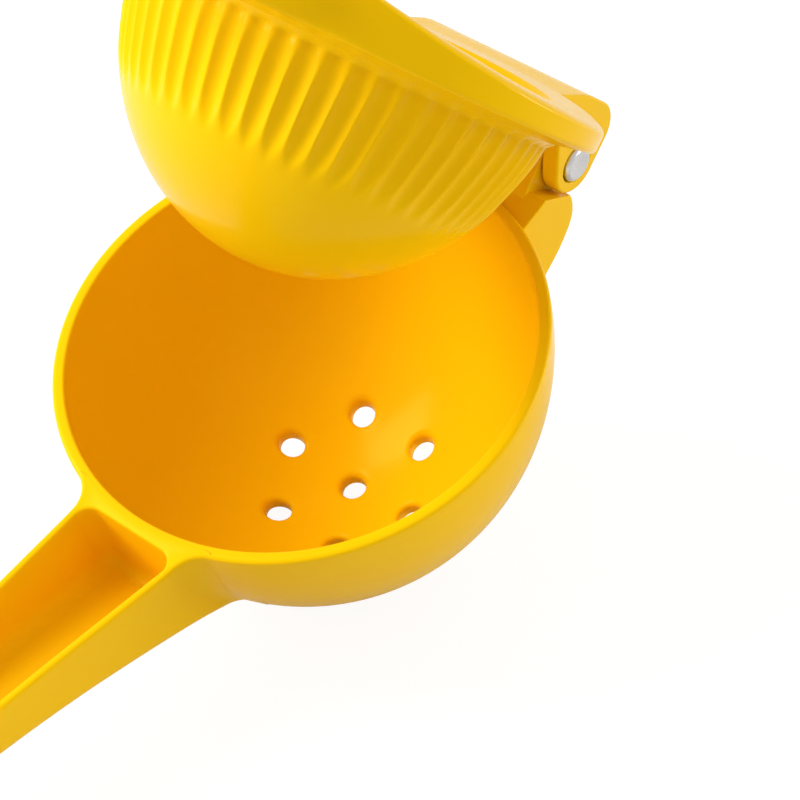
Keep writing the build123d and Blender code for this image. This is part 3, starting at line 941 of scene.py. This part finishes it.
# %% The hinge block
PIVOT_POINT = np.array([-48.3, 0.0])
EAR_LEFT, BLOCK_TOP, EAR_OUT, EAR_IN, BRIDGE_OUT = -53.3, 10.2, 16.0, 13.0, 13.8
CORNER = 4.8
BORE = 3.15
ramp = np.array([(-44.0, BLOCK_TOP), (-41.8, 9.98), (-39.4, 9.45), (-36.6, 8.85), (-33.0, 8.25), (-30.2, 7.8)])
corner_middle = np.array([EAR_LEFT + CORNER, BLOCK_TOP - CORNER])
ear_outline = np.concatenate([arc_points(PIVOT_POINT, 5.0, 180, 320, 22),
                              [(-40.1, 1.7), (-39.0, 3.2), (-30.2, 3.2)], ramp[::-1],
                              arc_points(corner_middle, CORNER, 90, 180, 12)])
bridge = np.concatenate([[(-38.3, 6.4), (-38.3, 3.2), (-30.2, 3.2)], ramp[::-1] - [0, HAIR],
                         arc_points(corner_middle + [HAIR, -HAIR], CORNER, 90, 167.8, 11)])
ears = [slab(ear_outline, y0, y1, (PIVOT_POINT, BORE)) for y0, y1 in ((EAR_IN, EAR_OUT), (-EAR_OUT, -EAR_IN))]
hinge_block = casting("hinge_block", ears + [slab(bridge, -BRIDGE_OUT, BRIDGE_OUT)], True)
wear(hinge_block, "upper", "plunger_half")

# %% [markdown]
# ## The bracket
# On the bowl's side a bracket hugs the wall and carries the lug, a thick knuckle between the ears.
# Two round saddles beside the lug leave room for the ears to turn. The knuckle's side view is the
# tightest band round a circle and three corners.

# %% The bracket
BRACKET_OUT = 16.0
LUG_OUT = 12.7
bracket_outline = np.concatenate([
    [(-34.0, -1.0), (-40.3, -0.35)], arc_points(PIVOT_POINT, 5.5, -43, -62, 8),
    [(-45.85, -5.9), (-45.8, -7.0), (-45.5, -8.4), (-44.9, -9.6), (-43.9, -10.8), (-42.5, -12.0),
     (-41.0, -13.1), (-39.4, -14.0), (-37.5, -14.9), (-36.4, -15.6), (-34.0, -17.0), (-34.0, -9.0)]])
knuckle = hull(np.concatenate([arc_points(PIVOT_POINT, 5.0, 0, 360, 61)[:-1],
                               [(-39.0, -0.4), (-45.8, -5.6), (-36.0, -14.0)]]))
bracket = casting("bracket", [hugging_slab(bracket_outline, BRACKET_OUT, 17), slab(knuckle, -LUG_OUT, LUG_OUT)], False)
wear(bracket, "lower", "bowl_half")

# %% [markdown]
# ## The pin
# A turned steel pin. Its side view is a short profile, spun about its own axis, with a small
# chamfer and a shallow dish where the lathe's tool parted it.

# %% The pin's profile, spun
PIN_RADIUS, PIN_HALF, PIN_CHAMFER = 2.9, 16.5, 0.4


def pin_grid():
    """Rows are circles about the pin's axis: middle, dish, chamfer, side, and the same again."""
    flat = PIN_RADIUS - PIN_CHAMFER
    end = np.array([(0.0, PIN_HALF - 0.12), (1.2, PIN_HALF - 0.1), (PIN_RADIUS - 0.9, PIN_HALF - 0.02),
                    (flat - 0.12, PIN_HALF), (flat, PIN_HALF - 0.02),
                    (PIN_RADIUS - 0.03, PIN_HALF - PIN_CHAMFER + 0.05), (PIN_RADIUS, PIN_HALF - PIN_CHAMFER - 0.1)])
    profile = np.concatenate([end, end[::-1] * [1, -1]])
    turn = np.linspace(0, 2 * math.pi, 65)
    x = PIVOT[0] + profile[:, :1] * np.cos(turn)
    z = PIVOT[2] + profile[:, :1] * np.sin(turn)
    return np.stack([x, np.repeat(profile[:, 1:], len(turn), axis=1), z], axis=-1)


pin = skin("pin", [pin_grid()], True)
wear(pin, "upper", "hinge_pin")

# %% [markdown]
# ## Sums in a material
# A pattern in a material is a sum over sockets. The class below wraps a socket so that the sum can
# be written as plain Python: each operator adds the Math node that it stands for. Every other node
# comes from one method, which sets the node's own settings first and then its sockets.

# %% Sockets that can be added and multiplied
class Quantity:
    """A node's output that takes part in Python expressions."""

    def __init__(self, recipe, socket):
        self.recipe, self.socket = recipe, socket

    def also(self, name):
        """Another output of the same node."""
        return Quantity(self.recipe, self.socket.node.outputs[name])

    def math(self, operation, first, second):
        """A Math node on two quantities or numbers."""
        return self.recipe.node("ShaderNodeMath", {"operation": operation}, {0: first, 1: second})

    def __add__(self, other):
        return self.math("ADD", self, other)

    def __mul__(self, other):
        return self.math("MULTIPLY", self, other)

    def __sub__(self, other):
        return self.math("SUBTRACT", self, other)

    def __rsub__(self, other):
        return self.math("SUBTRACT", other, self)

    def __pow__(self, other):
        return self.math("POWER", self, other)

    def __lt__(self, other):
        return self.math("LESS_THAN", self, other)

    __radd__ = __add__
    __rmul__ = __mul__


class Recipe:
    """The nodes of a material or a world, with the shader that takes its colours and quantities."""

    def __init__(self, owner, shader="Principled BSDF"):
        owner.use_nodes = True
        self.owner, self.tree = owner, owner.node_tree
        self.shader = self.tree.nodes[shader]

    def node(self, kind, settings=None, inputs=None, output=0):
        """A node of a kind: its settings are set first, then its sockets get values or links."""
        made = self.tree.nodes.new(kind)
        for key, value in (settings or {}).items():
            setattr(made, key, value)
        for key, value in (inputs or {}).items():
            self.feed(made.inputs[key], value)
        return Quantity(self, made.outputs[output])

    def feed(self, socket, value):
        """A quantity is linked to the socket, and anything else is its value."""
        if isinstance(value, Quantity):
            self.tree.links.new(value.socket, socket)
        else:
            socket.default_value = value

    def finish(self, **sockets):
        """Feed the shader's sockets; their names are written with _ for each space."""
        for key, value in sockets.items():
            self.feed(self.shader.inputs[key.replace("_", " ")], value)
        return self.owner


print("a quantity takes part in + - * ** and <")

# %% [markdown]
# ## Yellow enamel
# The castings are dipped or sprayed with a thick glossy enamel. It levels itself, so it's smooth
# to the touch, yet it shows a faint orange peel and the slow waves of the casting below. A few
# grains of dust are caught in it. One noise for each of these keeps them apart, so that each can
# be tuned by itself: fine bumps, slow bumps, a breath of colour, and rare specks.

# %% Enamel
ENAMEL_TONE = (0.96, 0.56, 0.0020)
DUST_TONE = (0.30, 0.10, 0.01, 1.0)
MIRROR_TONE = (1.0, 0.78, 0.12, 1.0)
ENAMEL_ROUGHNESS = 0.20


def noise(recipe, place, per_metre, detail):
    """A soft random pattern between 0 and 1 with so many waves to the metre."""
    return recipe.node("ShaderNodeTexNoise", None, {"Vector": place, "Scale": per_metre, "Detail": detail})


def speckle(recipe, place, per_metre, share, size):
    """Rare round specks: cells of a Voronoi pattern, few of them chosen, near their middles only."""
    cell = recipe.node("ShaderNodeTexVoronoi", {"feature": "F1"}, {"Vector": place, "Scale": per_metre})
    pick = recipe.node("ShaderNodeSeparateColor", None, {0: cell.also("Color")})
    return (cell < size) * (pick < share)


def mixed_colour(recipe, share, first, second):
    """A colour between two others."""
    return recipe.node("ShaderNodeMix", {"data_type": "RGBA"}, {0: share, 6: first, 7: second}, output=2)


def enamel_material():
    """Enamel whose height is peel * 0.35 + wave * 2.6 - dust * 0.6, read by a Bump."""
    recipe = Recipe(bpy.data.materials.new("yellow_enamel"))
    place = recipe.node("ShaderNodeTexCoord", output=3)
    peel, wave = noise(recipe, place, 620.0, 2.0), noise(recipe, place, 75.0, 1.0)
    breath, smudge = noise(recipe, place, 28.0, 3.0), noise(recipe, place, 160.0, 5.0)
    dust = speckle(recipe, place, 105.0, 0.045, 0.055)
    deep = tuple(channel * 0.9 for channel in ENAMEL_TONE) + (1.0,)
    colour = mixed_colour(recipe, breath, deep, ENAMEL_TONE + (1.0,))
    colour = mixed_colour(recipe, dust * 0.55, colour, DUST_TONE)
    height = peel * 0.35 + wave * 2.6 - dust * 0.6
    bump = recipe.node("ShaderNodeBump", None, {"Strength": 0.35, "Distance": 0.00006, "Height": height})
    return recipe.finish(Base_Color=colour, Roughness=smudge * 0.10 + (ENAMEL_ROUGHNESS - 0.05), Normal=bump,
                         Specular_IOR_Level=0.12, Specular_Tint=MIRROR_TONE)


enamel = enamel_material()
print("enamel nodes", len(enamel.node_tree.nodes))

# %% [markdown]
# ## The pin's steel
# The pin is bare turned steel. Its ends carry fine rings from the lathe, and its gloss is broken by
# short scratches, so the roughness varies more than the colour does.

# %% Steel
STEEL_TONE = (0.72, 0.71, 0.70, 1.0)
RINGS_PER_METRE = 9000.0


def steel_material():
    """Steel whose rings are a noise along the distance from the pin's axis, the root of x^2 + z^2."""
    recipe = Recipe(bpy.data.materials.new("pin_steel"))
    place = recipe.node("ShaderNodeTexCoord", output=3)
    to_axis = tuple(-float(v) for v in placed(PIVOT[None, :], True)[0])
    centred = recipe.node("ShaderNodeMapping", {"vector_type": "POINT"}, {"Vector": place, "Location": to_axis})
    across = recipe.node("ShaderNodeSeparateXYZ", None, {0: centred})
    high = across.also("Z")
    reach = (across * across + high * high) ** 0.5
    rings = recipe.node("ShaderNodeTexNoise", {"noise_dimensions": "1D"}, {"W": reach * RINGS_PER_METRE, "Scale": 1.0})
    grain = noise(recipe, place, 1500.0, 4.0)
    bump = recipe.node("ShaderNodeBump", None, {"Strength": 0.25, "Distance": 0.00002, "Height": rings + grain * 0.5})
    return recipe.finish(Base_Color=STEEL_TONE, Metallic=1.0, Roughness=grain * 0.18 + 0.20, Normal=bump)


steel = steel_material()
for piece in pieces.values():
    piece.data.materials.clear()
    piece.data.materials.append(steel if piece.name == "pin" else enamel)
for node in frame["nodes"].values():
    node.data.materials.clear()
    node.data.materials.append(enamel)
print("steel nodes", len(steel.node_tree.nodes), "pieces", len(pieces))

# %% [markdown]
# ## Camera
# The camera stands over the end of the lower handle and looks down into the bowl, with a long lens.
# Its place was worked out in the squeezer's closed frame, so the same lean puts it in the room.

# %% The camera
EYE = np.array([[133.481, 204.452, 316.832]])
SENSOR = 36.0
PICTURE = 800
FOCAL_PIXELS = 2688.65
eye = placed(EYE, False)[0]
forward = LEAN @ np.array([-0.34205, -0.47318, -0.81185])
upward = LEAN @ np.array([-0.70893, -0.43714, 0.55347])
sideways = np.cross(forward, upward)
camera_data = bpy.data.cameras.new("camera")
camera_data.sensor_width = SENSOR
camera_data.lens = FOCAL_PIXELS * SENSOR / PICTURE
camera_data.clip_start, camera_data.clip_end = 0.01, 20.0
camera = bpy.data.objects.new("camera", camera_data)


def matrix_from(x_axis, y_axis, z_axis, place):
    """Blender's matrix of an object with these axes, standing at a place."""
    return Matrix(np.vstack([np.column_stack([x_axis, y_axis, z_axis, place]), [0, 0, 0, 1]]).tolist())


camera.matrix_world = matrix_from(sideways, upward, -forward, eye)
bpy.context.scene.collection.objects.link(camera)
bpy.context.scene.camera = camera
print("camera at", eye.round(3))

# %% [markdown]
# ## Room and floor
# A glossy paint shows its surroundings, so the room is a plain studio: a pale floor and an even
# world. Straight in the camera's eye both are pure white. For all other rays they're dimmer, so
# that the paint keeps its depth: a Light Path node tells the two kinds of ray apart. A little of
# the floor's own shade is mixed in, which keeps the squeezer's shadow.

# %% World and floor
WORLD_LIGHT = 0.67
FLOOR_TONE = (0.75, 0.75, 0.75, 1.0)
FLOOR_GLOW = 1.14
FLOOR_GLOW_SHARE = 0.78
FLOOR_HALF, FLOOR_Z = 3, -0.0004


def seen_directly(recipe):
    """1 on rays from the camera, else 0."""
    return recipe.node("ShaderNodeLightPath")


world = bpy.data.worlds.new("studio")
bpy.context.scene.world = world
room = Recipe(world, "Background")
room.finish(Color=(1, 1, 1, 1), Strength=seen_directly(room) * (1 - WORLD_LIGHT) + WORLD_LIGHT)

paper = Recipe(bpy.data.materials.new("white_floor"))
paper.finish(Base_Color=FLOOR_TONE, Roughness=0.9, Specular_IOR_Level=0.1)
glow = paper.node("ShaderNodeEmission", None, {"Color": (1, 1, 1, 1), "Strength": FLOOR_GLOW})
mixed = paper.node("ShaderNodeMixShader", None, {0: seen_directly(paper) * FLOOR_GLOW_SHARE,
                                                 1: Quantity(paper, paper.shader.outputs[0]), 2: glow})
paper.feed(paper.tree.nodes["Material Output"].inputs["Surface"], mixed)
floor_mesh = bpy.data.meshes.new("floor")
corners = [(-1, -1), (1, -1), (1, 1), (-1, 1)]
floor_mesh.from_pydata([(FLOOR_HALF * x, FLOOR_HALF * y, FLOOR_Z) for x, y in corners], [], [(0, 1, 2, 3)])
floor = bpy.data.objects.new("floor", floor_mesh)
bpy.context.scene.collection.objects.link(floor)
floor.data.materials.append(paper.owner)
print("floor nodes", len(paper.tree.nodes))

# %% [markdown]
# ## Light
# Two soft lamps model the round forms. A tall one stands high on the camera's left and throws one
# soft window into the bowl. A square one stands low on the right and a little behind, where it
# lights the hinge and the edges. Lamps are placed by a direction from the camera's point of view,
# so that they can be thought of as in a studio: right, up, and towards the camera.

# %% Lamps
def soft_lamp(name, direction, distance, wide, tall, watts):
    """A lamp that looks at the bowl from a direction given as right, up and towards the camera."""
    lamp_data = bpy.data.lights.new(name, "AREA")
    lamp_data.shape = "RECTANGLE"
    lamp_data.size, lamp_data.size_y = wide, tall
    lamp_data.energy = watts
    lamp = bpy.data.objects.new(name, lamp_data)
    away = sideways * direction[0] + upward * direction[1] - forward * direction[2]
    away = away / np.linalg.norm(away)
    level = np.cross([0, 0, 1], away)
    level = level / np.linalg.norm(level)
    lamp.matrix_world = matrix_from(level, np.cross(away, level), away, RIM_CENTRE / 1000 + away * distance)
    bpy.context.scene.collection.objects.link(lamp)
    print(name, "lamp at", [round(v, 2) for v in lamp.matrix_world.translation])


soft_lamp("left", (-0.76, 0.46, 0.40), 1.1, 0.45, 0.95, 13.0)
soft_lamp("right", (0.93, 0.04, -0.18), 1.0, 0.6, 0.6, 8.8)
bpy.context.scene.view_settings.view_transform = "Standard"
